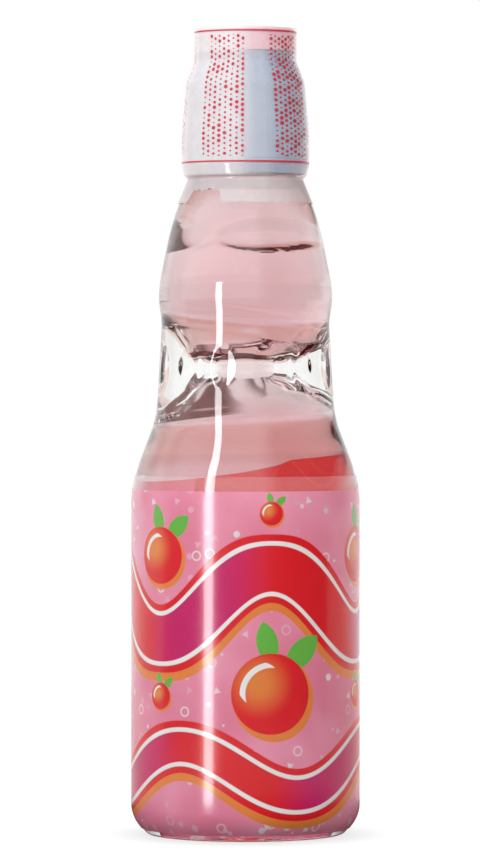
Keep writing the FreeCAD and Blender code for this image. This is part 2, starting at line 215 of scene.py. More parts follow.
class BottleLabel(bpy.types.PropertyGroup):
    """Sizes of the printed sleeve"""

    gap: length("Space between the sleeve and the glass", 0.15)
    thickness: length("Thickness of the sleeve", 0.2)
    low: length("Lower edge of the sleeve", 1.6)
    print_top: length("Upper edge of the print", 88.3)
    high: length("Upper edge of the clear margin", 91.9)
    skew: length("How far the print's upper edge rises at the back right", 3.1)
    repeats: count("Repeats of the pattern round the bottle", 3)


class BottleColours(bpy.types.PropertyGroup):
    """Colours of the bottle"""

    glass: colour("Tint of the clear glass", 0.975, 0.99, 0.98)
    marble: colour("Tint of the marble", 0.86, 0.96, 0.94)
    drink: colour("Light that the drink lets through", 0.80, 0.24, 0.32)
    pink: colour("Ground of the printed sleeve", 0.76, 0.20, 0.30)
    red: colour("Red of the ribbons and fruits", 0.70, 0.010, 0.018)
    magenta: colour("Far end of the ribbons' colour change", 0.52, 0.012, 0.13)
    white: colour("White lines of the print", 0.92, 0.88, 0.86)
    orange: colour("Shadow beside the red shapes", 0.80, 0.22, 0.05)
    green: colour("Green of the leaves", 0.12, 0.42, 0.06)
    pale: colour("Pale confetti on the pink", 0.80, 0.36, 0.48)
    film_red: colour("Red print on the film", 0.52, 0.03, 0.06)
    cap: colour("Plastic of the cap", 0.33, 0.42, 0.54)
    ring: colour("Plastic of the ring and the opener", 0.80, 0.44, 0.52)
    gasket: colour("Rubber of the gasket", 0.78, 0.78, 0.75)


class BottleStage(bpy.types.PropertyGroup):
    """Camera and light"""

    distance: length("Camera to the bottle axis", 1300)
    height: length("Height of the camera", 122)
    aim: length("Height that the camera looks at", 102.7)
    aside: length("How far the camera stands left of the axis", 1.4)
    view: bearing("Upright angle of view", 9.74)
    strip: share("Brightness of the narrow light at the left", 14.0)
    strip_turn: bearing("Angle of the narrow light from the front", -32.0)
    strip_distance: length("Narrow light to the bottle axis", 100)
    strip_width: length("Width of the narrow light", 14)
    strip_height: length("Top of the narrow light over the floor", 165)
    panel: share("Brightness of the wide light at the front left", 0.95)
    back: share("Brightness behind the bottle", 0.95)
    top: share("Brightness overhead", 0.7)
    key: share("Power of the soft lamp at the front left, in watts", 16.0)
    side: share("Power of the soft lamp at the right, in watts", 9.0)
    rear: share("Power of the soft lamp behind, in watts", 43.0)
    fill: share("Brightness of the dim right side of the room", 0.22)
    bounces: count("How often light may pass through glass", 24)
    mirrors: count("How often light may be mirrored", 12)


class Shade:
    """Nodes of one material or world, added by short calls that take sockets or plain values."""

    def __init__(self, owner):
        owner.use_nodes = True
        self.owner, self.tree = owner, owner.node_tree
        self.tree.nodes.clear()

    def node(self, kind, inputs=None, **settings):
        """Adds a node, sets it up and feeds its inputs."""
        node = self.tree.nodes.new("ShaderNode" + kind)
        for key, value in settings.items():
            setattr(node, key, value)
        for key, value in (inputs or {}).items():
            self.feed(node.inputs[key], value)
        return node

    def feed(self, socket, value):
        """Links an input to another socket, or sets it to a plain value."""
        if isinstance(value, bpy.types.NodeSocket):
            self.tree.links.new(value, socket)
        elif socket.type == "RGBA":
            socket.default_value = (*value[:3], 1.0)
        else:
            socket.default_value = value

    def math(self, operation, *values):
        node = self.node("Math", operation=operation)
        for socket, value in zip(node.inputs, values):
            self.feed(socket, value)
        return node.outputs[0]

    def times(self, first, *others):
        """The product of some values."""
        for other in others:
            first = self.math("MULTIPLY", first, other)
        return first

    def scale(self, value, factor, offset):
        """A value times a factor, plus an offset."""
        return self.math("MULTIPLY_ADD", value, factor, offset)

    def radius(self, across, up):
        """The length of a flat offset."""
        return self.math("SQRT", self.scale(across, across, self.times(up, up)))

    def step(self, value, low, high):
        """Rises smoothly from 0 at low to 1 at high, or falls where high is the lower one."""
        node = self.node(
            "MapRange", {"Value": value, "From Min": low, "From Max": high},
            interpolation_type="SMOOTHSTEP",
        )
        return node.outputs["Result"]

    def mix(self, factor, first, second):
        node = self.node("Mix", {0: factor, 6: first, 7: second}, data_type="RGBA")
        return node.outputs[2]

    def noise(self, vector, scale, detail=2.0):
        """A cloudy value, with its scale in clouds for one metre."""
        return self.node(
            "TexNoise", {"Vector": vector, "Scale": scale, "Detail": detail}
        ).outputs["Fac"]

    def bump(self, height, distance, strength=1.0):
        node = self.node("Bump", {"Height": height, "Distance": distance, "Strength": strength})
        return node.outputs["Normal"]

    def spot(self):
        return self.node("TexCoord").outputs["Object"]

    def place(self):
        """The spot on the piece, the angle round the axis from the front, and the height in mm."""
        spot = self.spot()
        x, y, z = self.node("SeparateXYZ", {"Vector": spot}).outputs
        angle = self.math("ARCTAN2", x, self.times(y, -1.0))
        return spot, angle, self.math("DIVIDE", z, MM)

    def principled(self, **inputs):
        """A Principled surface, with its inputs in small letters."""
        named = {}
        for key, value in inputs.items():
            named[key.replace("_", " ").title().replace("Ior", "IOR")] = value
        return self.node("BsdfPrincipled", named).outputs[0]

    def end(self, surface, volume=None):
        """Ends a material's nodes in its output, and gives the material."""
        sockets = {"Surface": surface}
        if volume:
            sockets["Volume"] = volume
        self.node("OutputMaterial", sockets)
        return self.owner


def new_shade(name):
    """The nodes of a new material."""
    return Shade(bpy.data.materials.new(name))


def shaded(tone, factor, offset=0.0):
    """A colour made darker or lighter."""
    return tuple(min(1.0, factor * part + offset) for part in tone)


def glass_material(name, tint, ripple):
    """Clear glass with the faint ripple of a moulded wall."""
    shade = new_shade(name)
    wave = shade.noise(shade.spot(), 55.0, 1.0)
    return shade.end(shade.principled(
        base_color=tint, roughness=0.0, ior=GLASS_IOR, transmission_weight=1.0,
        normal=shade.bump(wave, ripple * MM),
    ))


def drink_material(colours):
    """A clear pink soda: its colour comes from the light that the drink takes up on its way."""
    shade = new_shade("pink_soda")
    surface = shade.principled(
        base_color=WHITE, roughness=0.0, ior=DRINK_IOR, transmission_weight=1.0,
    )
    volume = shade.node("VolumeAbsorption", {"Color": colours.drink, "Density": DRINK_DENSITY})
    return shade.end(surface, volume.outputs[0])


def plastic_material(name, base, rough, grain):
    """Moulded plastic with a fine grain and a soft colour change."""
    shade = new_shade(name)
    spot = shade.spot()
    cloud = shade.noise(spot, 160.0, 3.0)
    fine = shade.noise(spot, 2600.0)
    return shade.end(shade.principled(
        base_color=shade.mix(shade.step(cloud, 0.3, 0.7), base, shaded(base, 0.93)),
        roughness=shade.scale(cloud, 0.12, rough - 0.06), ior=PLASTIC_IOR,
        subsurface_weight=0.12, subsurface_radius=(0.8, 0.6, 0.6), subsurface_scale=1.2 * MM,
        normal=shade.bump(fine, grain * MM, 0.5),
    ))


def rubber_material(colours):
    """Pale rubber with a matte skin."""
    shade = new_shade("gasket_rubber")
    spot = shade.spot()
    cloud = shade.noise(spot, 300.0, 4.0)
    return shade.end(shade.principled(
        base_color=shade.mix(cloud, colours.gasket, shaded(colours.gasket, 0.8)),
        roughness=shade.scale(cloud, 0.2, 0.55),
        normal=shade.bump(shade.noise(spot, 3500.0), 0.02 * MM, 0.6),
    ))


class Motifs:
    """Flat shapes of a print, as masks on a wall that is measured in millimetres."""

    def __init__(self, shade, across, height):
        self.shade, self.across, self.height = shade, across, height

    def inside(self, distance, edge, soft=0.14):
        return self.shade.step(distance, edge + soft, edge - soft)

    def line(self, distance, middle, half):
        off = self.shade.math("ABSOLUTE", self.shade.math("SUBTRACT", distance, middle))
        return self.inside(off, half)

    def from_point(self, out, up):
        """Distance from a point of the wall."""
        return self.shade.radius(
            self.shade.math("SUBTRACT", self.across, out),
            self.shade.math("SUBTRACT", self.height, up),
        )

    def leaf(self, out, up, lean, size):
        """A pointed leaf: what two large circles have in common."""
        turn, bulge = math.radians(lean), 0.75 * size
        side = Vector((math.cos(turn), math.sin(turn))) * bulge
        reach = math.hypot(bulge, size)
        first = self.from_point(out + side.x, up + side.y)
        second = self.from_point(out - side.x, up - side.y)
        return self.inside(self.shade.math("MAXIMUM", first, second), reach)

    def scatter(self, pitch):
        """Random cells on the wall: the offset from each cell's point, and three random numbers."""
        shade = self.shade
        spot = shade.node("CombineXYZ", {"X": self.across, "Y": self.height}).outputs[0]
        cells = shade.node(
            "TexVoronoi", {"Vector": spot, "Scale": 1.0 / pitch, "Randomness": 0.8},
            voronoi_dimensions="2D",
        )
        away = shade.node(
            "VectorMath", {0: spot, 1: cells.outputs["Position"]}, operation="SUBTRACT",
        )
        split = shade.node("SeparateXYZ", {"Vector": away.outputs[0]})
        picks = shade.node("SeparateColor", {"Color": cells.outputs["Color"]})
        return split.outputs[:2], picks.outputs[:3]

    def triangle(self, across, up, pick):
        """A small triangle that is turned at random."""
        shade = self.shade
        turn = shade.times(pick, math.tau)
        edges = []
        for k in range(3):
            lean = shade.math("ADD", turn, k * math.tau / 3)
            along = shade.times(across, shade.math("COSINE", lean))
            edges.append(shade.scale(up, shade.math("SINE", lean), along))
        widest = shade.math("MAXIMUM", shade.math("MAXIMUM", edges[0], edges[1]), edges[2])
        return self.inside(widest, 0.55, 0.1)


def confetti(shade, wall, tone, pale, bright):
    """Dots, rings and triangles strewn over a ground colour."""
    ring, ring_half, least_dot, dot_spread, hidden_share = 1.1, 0.2, 0.25, 0.7, 0.42
    for pitch, kind in CONFETTI:
        (across, up), (shape, shown, paint) = wall.scatter(pitch)
        if kind == "triangle":
            mask = wall.triangle(across, up, shape)
        elif kind == "ring":
            mask = wall.line(shade.radius(across, up), ring, ring_half)
        else:
            size = shade.scale(shape, dot_spread, least_dot)
            away = shade.math("SUBTRACT", shade.radius(across, up), size)
            mask = shade.step(away, 0.12, -0.12)
        mask = shade.times(mask, shade.math("GREATER_THAN", shown, hidden_share))
        tone = shade.mix(mask, tone, shade.mix(shade.step(paint, 0.3, 0.8), pale, bright))
    return tone


def add_ribbon(shade, local, colours, tone, turn, tilt, ribbon):
    """A waved red ribbon with a white inline and an orange shadow."""
    level, swing, half, shift = ribbon
    border, inline, shadow_drop, shadow_edge, tone_shift = 1.7, 1.1, 1.5, 0.5, 1.9
    wave = shade.math("ADD", turn, shift)
    slope = shade.times(shade.math("COSINE", wave), swing * tilt)
    steep = shade.math("SQRT", shade.scale(slope, slope, 1.0))
    centre = shade.scale(shade.math("SINE", wave), swing, level)
    rise = shade.math("DIVIDE", shade.math("SUBTRACT", local.height, centre), steep)
    away = shade.math("ABSOLUTE", rise)
    below = shade.math("ABSOLUTE", shade.math("ADD", rise, shadow_drop))
    change = shade.math("SINE", shade.math("ADD", wave, tone_shift))
    change = shade.scale(change, 0.5, 0.5)
    core = shade.mix(shade.step(change, 0.25, 0.95), colours.red, colours.magenta)
    for distance, edge, paint in (
        (below, half + shadow_edge, colours.orange), (away, half, colours.red),
        (away, half - border, colours.white), (away, half - border - inline, core),
    ):
        tone = shade.mix(local.inside(distance, edge), tone, paint)
    return tone


def add_fruit(shade, local, colours, tone, out, up, size):
    """A round fruit with two leaves, an orange shadow and a white glint."""
    for aside, rise, lean, reach in ((0.8, 1.0, -48.0, 0.62), (-0.1, 1.25, 12.0, 0.55)):
        leaf = local.leaf(out + aside * size, up + rise * size, lean, reach * size)
        tone = shade.mix(leaf, tone, colours.green)
    shadow = local.from_point(out + 0.09 * size, up - 0.13 * size)
    tone = shade.mix(local.inside(shadow, 1.05 * size), tone, colours.orange)
    shine = local.from_point(out - 0.3 * size, up + 0.25 * size)
    skin = shade.mix(shade.step(shine, 0.1 * size, 0.95 * size), colours.orange, colours.red)
    away = local.from_point(out, up)
    tone = shade.mix(local.inside(away, size), tone, skin)
    arc = local.line(away, 0.72 * size, 0.07 * size)
    glint = shade.times(arc, local.inside(shine, 0.55 * size))
    return shade.mix(glint, tone, colours.white)


def add_patch(shade, local, colours, tone, angle, outside):
    """A plain red patch with a white inline, at the back right under the upper edge."""
    middle, half, foot, rounding = 2.57, 0.83, 77.0, 5.0
    behind = shade.scale(shade.math("LESS_THAN", angle, 0.0), math.tau, angle)
    aside = shade.math("ABSOLUTE", shade.math("SUBTRACT", behind, middle))
    edge = shade.scale(aside, -outside, half * outside)
    rise = shade.math("SUBTRACT", local.height, foot)
    edge = shade.math("SMOOTH_MIN", edge, rise, rounding)
    tone = shade.mix(shade.step(edge, -0.14, 0.14), tone, shaded(colours.red, 0.92, 0.045))
    return shade.mix(local.line(edge, 1.9, 0.5), tone, colours.white)


def label_material(colours, sizes, glass):
    """The printed sleeve: waved red ribbons and round fruits on pink, strewn with confetti."""
    shade = new_shade("sleeve_print")
    spot, angle, height = shade.place()
    outside = (glass.body + sizes.gap + sizes.thickness) / MM
    span = math.tau * outside / sizes.repeats
    turn = shade.scale(angle, sizes.repeats, 0.9)
    cell = shade.math("FRACT", shade.math("DIVIDE", turn, math.tau))
    across = shade.times(shade.math("SUBTRACT", cell, 0.5), span)
    wall = Motifs(shade, shade.times(angle, outside), height)
    local = Motifs(shade, across, height)

    cloud = shade.step(shade.noise(spot, 38.0), 0.35, 0.7)
    tone = shade.mix(cloud, colours.pink, shaded(colours.pink, 1.15, 0.06))
    bright = tuple((one + two) / 2 for one, two in zip(colours.pale, colours.white))
    tone = confetti(shade, wall, tone, colours.pale, bright)
    for ribbon in RIBBONS:
        tone = add_ribbon(shade, local, colours, tone, turn, sizes.repeats / outside, ribbon)
    for place, level, size in FRUITS:
        tone = add_fruit(shade, local, colours, tone, place * span, level, size)
    tone = add_patch(shade, local, colours, tone, angle, outside)
    return shade.end(shade.principled(
        base_color=tone, roughness=shade.scale(shade.noise(spot, 240.0, 3.0), 0.1, 0.16),
        ior=SHEET_IOR, coat_weight=0.35, coat_roughness=0.04,
        subsurface_weight=0.9, subsurface_radius=(1.0, 0.8, 0.8), subsurface_scale=MM,
        normal=shade.bump(shade.noise(spot, 70.0), 0.05 * MM),
    ))


def clear_sheet(shade, gloss_tone, veil, rough, normal):
    """A thin clear plastic sheet: see-through, shinier at a glancing angle, and a little milky."""
    facing = shade.node("LayerWeight", {"Blend": 0.5}).outputs["Facing"]
    shine = shade.scale(shade.math("POWER", facing, 4.0), 0.7, veil)
    gloss = shade.principled(base_color=gloss_tone, roughness=rough, ior=SHEET_IOR, normal=normal)
    clear = shade.node("BsdfTransparent").outputs[0]
    return shade.node("MixShader", {0: shine, 1: clear, 2: gloss}).outputs[0]


def margin_material():
    """The clear upper edge of the sleeve, with fine shrink creases."""
    shade = new_shade("sleeve_margin")
    crease = shade.bump(shade.noise(shade.spot(), 330.0, 3.0), 0.25 * MM, 0.7)
    return shade.end(clear_sheet(shade, (0.95, 0.93, 0.94), 0.05, 0.12, crease))


def bead_mask(shade, angle, height, top):
    """Columns of round beads of mixed sizes, in five sectors between two lines."""
    columns, pitch, radius, sectors, printed_share = 66, 1.3, 15.0, 5, 0.6
    line_low, line_high = top.cap_level / MM + 3.0, top.ring_top / MM - 1.05
    low, high, soft = line_low + 1.35, line_high - 1.05, 0.05
    turn = shade.times(angle, columns / math.tau)
    column = shade.math("FLOOR", turn)
    row = shade.scale(column, 0.5, shade.math("DIVIDE", height, pitch))
    cell = shade.node("CombineXYZ", {"X": column, "Y": shade.math("FLOOR", row)})
    dice = shade.node("TexWhiteNoise", {"Vector": cell.outputs[0]}, noise_dimensions="2D")
    across = shade.math("SUBTRACT", shade.math("FRACT", turn), 0.5)
    across = shade.times(across, math.tau * radius / columns)
    up = shade.times(shade.math("SUBTRACT", shade.math("FRACT", row), 0.5), pitch)
    size = shade.scale(dice.outputs["Value"], 0.34, 0.16)
    bead = shade.step(shade.math("SUBTRACT", shade.radius(across, up), size), 0.07, -0.07)
    sector = shade.math("FRACT", shade.scale(angle, sectors / math.tau, 0.62))
    mask = shade.times(
        bead, shade.math("LESS_THAN", sector, printed_share),
        shade.step(height, low - soft, low + soft), shade.step(height, high + soft, high - soft),
    )
    motifs = Motifs(shade, across, height)
    for level in (line_low, line_high):
        mask = shade.math("MAXIMUM", mask, motifs.line(height, level, 0.22))
    return mask


def film_material(colours, glass, top):
    """The clear film with red beads: milky over the ring and on the glass, with a painted sheen at
    the left.
    """
    shade = new_shade("cap_film_print")
    spot, angle, height = shade.place()
    collar, cap, ring = (size / MM for size in (glass.collar_level, top.cap_level, top.cap_top))
    on_glass, on_cap = shade.step(height, cap, collar), shade.step(height, collar, cap)
    on_ring = shade.step(height, ring - 0.95, ring + 0.45)
    # Painted sheen: the film is made milkier at the left, where the wide light at the front left
    # shines on it.
    left_sheen = shade.times(shade.step(angle, 0.32, -0.3), on_cap)
    seam = Motifs(shade, angle, height).line(angle, 0.3, 0.05)
    milk_and_sheen = 0.06
    for zone, amount in ((on_glass, 0.4), (on_ring, 0.12), (left_sheen, 0.44), (seam, 0.12)):
        milk_and_sheen = shade.scale(zone, amount, milk_and_sheen)
    milk_and_sheen = shade.times(milk_and_sheen, shade.scale(shade.noise(spot, 260.0), 0.36, 0.82))
    normal = shade.bump(shade.noise(spot, 180.0), 0.12 * MM, 0.8)
    veil = shade.mix(on_glass, (0.90, 0.90, 0.92), (0.66, 0.63, 0.65))
    sheet = clear_sheet(shade, veil, milk_and_sheen, 0.09, normal)
    ink = shade.principled(
        base_color=colours.film_red, roughness=0.16, ior=SHEET_IOR, normal=normal,
    )
    mask = bead_mask(shade, angle, height, top)
    return shade.end(shade.node("MixShader", {0: mask, 1: sheet, 2: ink}).outputs[0])


def chain(bm, corners, closed=False):
    """Edges through corners of (out, up) or (out, up, rounding in mm), rounded by vertex bevels."""
    points = [Vector((corner[0], 0.0, corner[1])) for corner in corners]
    verts = [bm.verts.new(point) for point in points]
    for first, second in zip(verts, verts[1:] + verts[:1] if closed else verts[1:]):
        bm.edges.new((first, second))
    for k, corner in enumerate(corners):
        if len(corner) == 2:
            continue
        back, ahead = points[k - 1] - points[k], points[(k + 1) % len(points)] - points[k]
        turn = math.pi - back.angle(ahead)
        reach = min(corner[2] * MM * math.tan(turn / 2), 0.45 * back.length, 0.45 * ahead.length)
        arc = reach / math.tan(turn / 2) * turn
        segments = max(2, math.ceil(arc / MM), math.ceil(math.degrees(turn) / 9))
        bmesh.ops.bevel(
            bm, geom=[verts[k]], offset=reach, offset_type="OFFSET", affect="VERTICES",
            segments=segments, profile=0.5, material=-1,
        )


def divide(bm, longest, low=-MM, high=1.0):
    """Splits a chain's long edges between two levels."""
    for edge in list(bm.edges):
        middle = (edge.verts[0].co.z + edge.verts[1].co.z) / 2
        cuts = math.ceil(edge.calc_length() / longest - 0.01) - 1
        if cuts > 0 and low <= middle <= high:
            bmesh.ops.subdivide_edges(bm, edges=[edge], cuts=cuts)


def cut(bm, level, above=False, below=False):
    """Cuts a chain at a level, and clears what is above or below it."""
    bmesh.ops.bisect_plane(
        bm, geom=bm.verts[:] + bm.edges[:], plane_co=(0, 0, level), plane_no=(0, 0, 1),
        clear_outer=above, clear_inner=below,
    )


def trim(bm, low, high):
    """Cuts a pair of chains off at two levels, and joins their ends."""
    for level, above in ((low, False), (high, True)):
        cut(bm, level, above, not above)
        bm.edges.new([vert for vert in bm.verts if abs(vert.co.z - level) < 0.001 * MM])


def spin(bm, steps):
    """Turns a chain about the bottle's axis."""
    bmesh.ops.spin(
        bm, geom=bm.verts[:] + bm.edges[:], cent=(0, 0, 0), axis=(0, 0, 1),
        angle=math.tau, steps=steps, use_merge=True,
    )
    bmesh.ops.remove_doubles(bm, verts=bm.verts, dist=0.001 * MM)


def around(bm):
    """Each vertex with its distance from the axis and its angle round it from the front."""
    for vert in bm.verts:
        yield vert, math.hypot(vert.co.x, vert.co.y), math.atan2(vert.co.x, -vert.co.y)


def from_nearest(angle, number, out):
    """How far round the wall the nearest of some evenly spaced places is."""
    turn = angle * number / math.tau
    return abs(turn - round(turn)) * math.tau / number * out


def set_out(vert, out):
    """Moves a vertex straight out from the axis or in."""
    now = math.hypot(vert.co.x, vert.co.y)
    vert.co.x *= out / now
    vert.co.y *= out / now


def ease(value):
    """Smooth step from 0 to 1."""
    value = min(1.0, max(0.0, value))
    return value * value * (3.0 - 2.0 * value)


def cut_flutes(bm, glass):
    """Presses lens shaped flutes into the outside of the waist."""
    for vert, out, angle in around(bm):
        rise = (vert.co.z - glass.flute_level) / glass.flute_height
        if abs(rise) >= 1.0 or out < glass.pinch - MM:
            continue
        away = from_nearest(angle - glass.flute_turn, glass.flutes, out) / glass.flute_width
        lens = 1.0 - away * away - rise * rise
        if lens > 0.0:
            set_out(vert, out - glass.flute_depth * lens)


def press_ears(bm, glass):
    """Presses the two ears into the back of the chamber, with a longer slope on top."""
    upper_share = 0.62
    ears = (
        (glass.ear_right, glass.ear_depth),
        (-glass.ear_left, glass.ear_left_share * glass.ear_depth),
    )
    for vert, out, angle in around(bm):
        rise = (vert.co.z - glass.ear_level) / glass.ear_height
        rise *= 1.0 if rise < 0.0 else upper_share
        if abs(rise) >= 1.0 or out < 0.5 * glass.ear_wall:
            continue
        for side, depth in ears:
            ear = math.pi - math.asin(side / glass.ear_wall)
            away = (angle - ear + math.pi) % math.tau - math.pi
            far = math.hypot(away * glass.ear_wall / glass.ear_width, rise)
            if far < 1.0:
                dent = 1.0 - far * far
                set_out(vert, out - depth * dent ** (1.0 + ease(rise)))


def lean_inside(bm, glass):
    """Tilts the inside of the waist: at the left the dome hangs down and the bowl stands up."""
    slope = (glass.body - glass.waist) / (glass.waist_level - glass.body_top)
    dome_top, dome_ramp = glass.waist_level + 10 * MM, 5 * MM
    shoulder_foot, shoulder_ramp = glass.body_top - 12 * MM, 16 * MM
    bowl_edge, bowl_ramp, chamber_ramp = glass.throat + 2.1 * MM, 5 * MM, 8 * MM
    for vert, out, angle in around(bm):
        level = vert.co.z
        left = 0.5 - 0.5 * math.sin(angle)
        if level > dome_top and out < glass.pinch - glass.wall / 2:
            near = ease((out - bowl_edge) / bowl_ramp)
            near *= ease((glass.chamber_level - level) / chamber_ramp)
            vert.co.z += glass.bowl_lean * near * left
        elif out < glass.body - glass.wall / 2 - slope * (level - glass.body_top):
            near = ease((level - shoulder_foot) / shoulder_ramp)
            near *= ease((dome_top - level) / dome_ramp)
            vert.co.z -= glass.dome_lean * near * left


def add_thread(bm, pitch, levels, radii, height):
    """Raises a left hand thread on the wall between two levels and two radii."""
    (low, high), (near, far) = levels, radii
    shift = 0.0 if height > 0.0 else 0.5
    half_share, flank_share = 0.26, 0.14
    for vert, out, angle in around(bm):
        level = vert.co.z
        if low < level < high and near < out < far:
            place = (level / pitch + angle / math.tau + shift) % 1.0
            ridge = ease((half_share - abs(place - 0.5)) / flank_share)
            ends = ease((level - low) / pitch) * ease((high - level) / pitch)
            set_out(vert, out + height * ridge * ends)


def add_piece(context, bm, name, materials, body, node, sharp=38.0):
    """Makes a piece of the bottle from its mesh, in place of a node of the frame."""
    bmesh.ops.recalc_face_normals(bm, faces=bm.faces)
    for face in bm.faces:
        face.smooth = True
    mesh = bpy.data.meshes.new(name)
    bm.to_mesh(mesh)
    bm.free()
    mesh.set_sharp_from_angle(angle=math.radians(sharp))
    for material in materials:
        mesh.materials.append(material)
    piece = bpy.data.objects.new(name, mesh)
    context.collection.objects.link(piece)
    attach(piece, body)
    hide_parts(node)


def add_facing(context, name, data, spot, look):
    """Adds a lamp or a camera that looks along a direction."""
    thing = bpy.data.objects.new(name, data)
    context.collection.objects.link(thing)
    thing.location = spot
    thing.rotation_euler = look.to_track_quat("-Z", "Y").to_euler()
    return thing


def inside_corners(glass, swell):
    """Corners of the glass's inside from the neck down to the floor, each moved out by a swell."""
    wall = glass.wall - swell
    body, chamber, throat = glass.body - wall, glass.chamber - wall, glass.throat + swell
    bowl_rim, bowl_foot, throat_top = (glass.chamber_level - drop * MM for drop in (7.4, 15, 17))
    dome_level, throat_foot = (glass.waist_level + rise * MM for rise in (4.95, 9.95))
    bowl, dome = chamber - 4.7 * MM, glass.waist - wall - 1.9 * MM
    return [
        (glass.neck - wall, glass.neck_level, NECK_ROUNDING),
        (chamber, glass.chamber_level, CHAMBER_ROUNDING),
        (chamber, bowl_rim, 11.5),
        (bowl, bowl_foot, 8),
        (throat, throat_top, 1.6),
        (throat, throat_foot, 1.6),
        (dome, dome_level, 12),
        (body, glass.body_top, SHOULDER_ROUNDING),
        (body, glass.floor - swell, 8),
        (0.0, glass.floor - swell),
    ]


def divide_inside(bm, glass):
    """Splits a chain finely where the ears and the leaning waist shape it."""
    divide(bm, 0.5 * MM, glass.ear_level - 5 * MM, glass.ear_level + 5 * MM)
    divide(bm, 2 * MM, glass.body_top - 10 * MM, glass.waist_level + 10 * MM)
    divide(bm, 12 * MM)


class BOTTLE_OT_glass(bpy.types.Operator):
    """Adds the clear glass with its punt, fluted waist, ears and screw thread"""

    bl_idname = "bottle.add_glass"
    bl_label = "Glass"

    def execute(self, context):
        glass = context.scene.bottle_glass
        punt, foot, steps_per_flute = 13.5 * MM, glass.body - 6.45 * MM, 16
        bm = bmesh.new()
        chain(bm, [
            (0.0, glass.punt_level),
            (punt, glass.punt_level, 6),
            (foot, 0.0, 1.6),
            (glass.body - glass.heel, 0.0, 1.6),
            (glass.body, glass.heel_level, HEEL_ROUNDING),
            (glass.body, glass.body_top, SHOULDER_ROUNDING),
            (glass.waist, glass.waist_level, 25),
            (glass.pinch, glass.pinch_level, 16),
            (glass.chamber, glass.chamber_level, CHAMBER_ROUNDING),
            (glass.neck, glass.neck_level, NECK_ROUNDING),
            (glass.collar, glass.collar_level, 2.5),
            (glass.finish, glass.finish_level, 1.5),
            (glass.finish, glass.rim_level, 1.2),
            (glass.bore + glass.lip, glass.rim_level, 0.3),
            (glass.bore, glass.rim_level - glass.lip, 0.6),
            (glass.bore, glass.bore_level, 8),
            *inside_corners(glass, 0.0),
        ])
        divide(bm, 0.6 * MM, glass.flute_level - 9 * MM, glass.flute_level + 9 * MM)
        divide(bm, 0.36 * MM, glass.finish_level + MM, glass.rim_level - MM)
        divide_inside(bm, glass)
        spin(bm, steps_per_flute * glass.flutes)
        cut_flutes(bm, glass)
        press_ears(bm, glass)
        lean_inside(bm, glass)
        levels = glass.finish_level + 2.5 * MM, glass.rim_level - 2.5 * MM
        radii = glass.finish - 0.1 * MM, glass.body
        add_thread(bm, glass.thread_pitch, levels, radii, glass.thread_height)
        material = glass_material("clear_glass", context.scene.bottle_colours.glass, 0.02)
        add_piece(context, bm, "bottle_glass", [material], "bottle", "glass_bottle")
        return {"FINISHED"}


class BOTTLE_OT_drink(bpy.types.Operator):
    """Adds the pink drink, which fills the glass up to a level with a curved edge"""

    bl_idname = "bottle.add_drink"
    bl_label = "Drink"

    def execute(self, context):
        glass = context.scene.bottle_glass
        bm = bmesh.new()
        chain(bm, [(glass.bore, glass.bore_level), *inside_corners(glass, 0.12 * MM)])
        divide_inside(bm, glass)
        cut(bm, glass.fill_level + 0.9 * MM, above=True)
        last = max(bm.verts, key=lambda vert: vert.co.z)
        edge = last.co.x
        for inset, rise in ((0.25, 0.45), (0.7, 0.2), (1.4, 0.06), (2.6, 0.0)):
            vert = bm.verts.new((edge - inset * MM, 0.0, glass.fill_level + rise * MM))
            bm.edges.new((last, vert))
            last = vert
        bm.edges.new((last, bm.verts.new((0.0, 0.0, glass.fill_level))))
        spin(bm, 176)
        press_ears(bm, glass)
        lean_inside(bm, glass)
        material = drink_material(context.scene.bottle_colours)
        add_piece(context, bm, "pink_soda", [material], "bottle", "drink")
        return {"FINISHED"}


class BOTTLE_OT_label(bpy.types.Operator):
    """Adds the printed sleeve with its clear upper margin"""

    bl_idname = "bottle.add_label"
    bl_label = "Label"

    def execute(self, context):
        scene = context.scene
        glass, sizes = scene.bottle_glass, scene.bottle_label
        bm = bmesh.new()
        for gap in (sizes.gap + sizes.thickness, sizes.gap):
            out = glass.body + gap
            chain(bm, [
                (out - glass.heel, 0.0),
                (out, glass.heel_level, HEEL_ROUNDING),
                (out, glass.body_top, SHOULDER_ROUNDING),
                (glass.waist + gap, glass.waist_level),
            ])
        divide(bm, 4 * MM)
        trim(bm, sizes.low, sizes.high)
        cut(bm, sizes.print_top)
        spin(bm, 192)
        for face in bm.faces:
            face.material_index = 1 if face.calc_center_median().z > sizes.print_top else 0
        self.shrink(bm, glass, sizes)
        materials = [label_material(scene.bottle_colours, sizes, glass), margin_material()]
        add_piece(context, bm, "body_sleeve", materials, "bottle", "body_label")
        return {"FINISHED"}

    def shrink(self, bm, glass, sizes):
        """Raises the print's edge at the back right along the shoulder, and ripples the margin."""
        shoulder = glass.body_top - 6.07 * MM
        across = 2 * SHOULDER_ROUNDING * MM
        raised, reach, fade = math.radians(135), math.radians(60), 8 * MM
        ripple_foot, ripple_ramp, ripple_depth = sizes.print_top - 4 * MM, 6 * MM, 0.07 * MM
        for vert, out, angle in around(bm):
            level = vert.co.z
            lift = ease((level - ripple_foot) / ripple_ramp)
            spot = Vector((5.0 * math.sin(angle), 5.0 * math.cos(angle), 90.0 * level))
            ripple = ripple_depth * noise.noise(spot) * lift
            away = abs((angle - raised + math.pi) % math.tau - math.pi)
            skew = sizes.skew * ease(1.15 - away / reach)
            if level > sizes.print_top:
                skew *= (sizes.high - level) / (sizes.high - sizes.print_top)
            else:
                skew *= max(0.0, 1.0 - (sizes.print_top - level) / fade)
            bend = max(0.0, level + skew - shoulder) ** 2 - max(0.0, level - shoulder) ** 2
            vert.co.z += skew
            set_out(vert, out + ripple - bend / across)


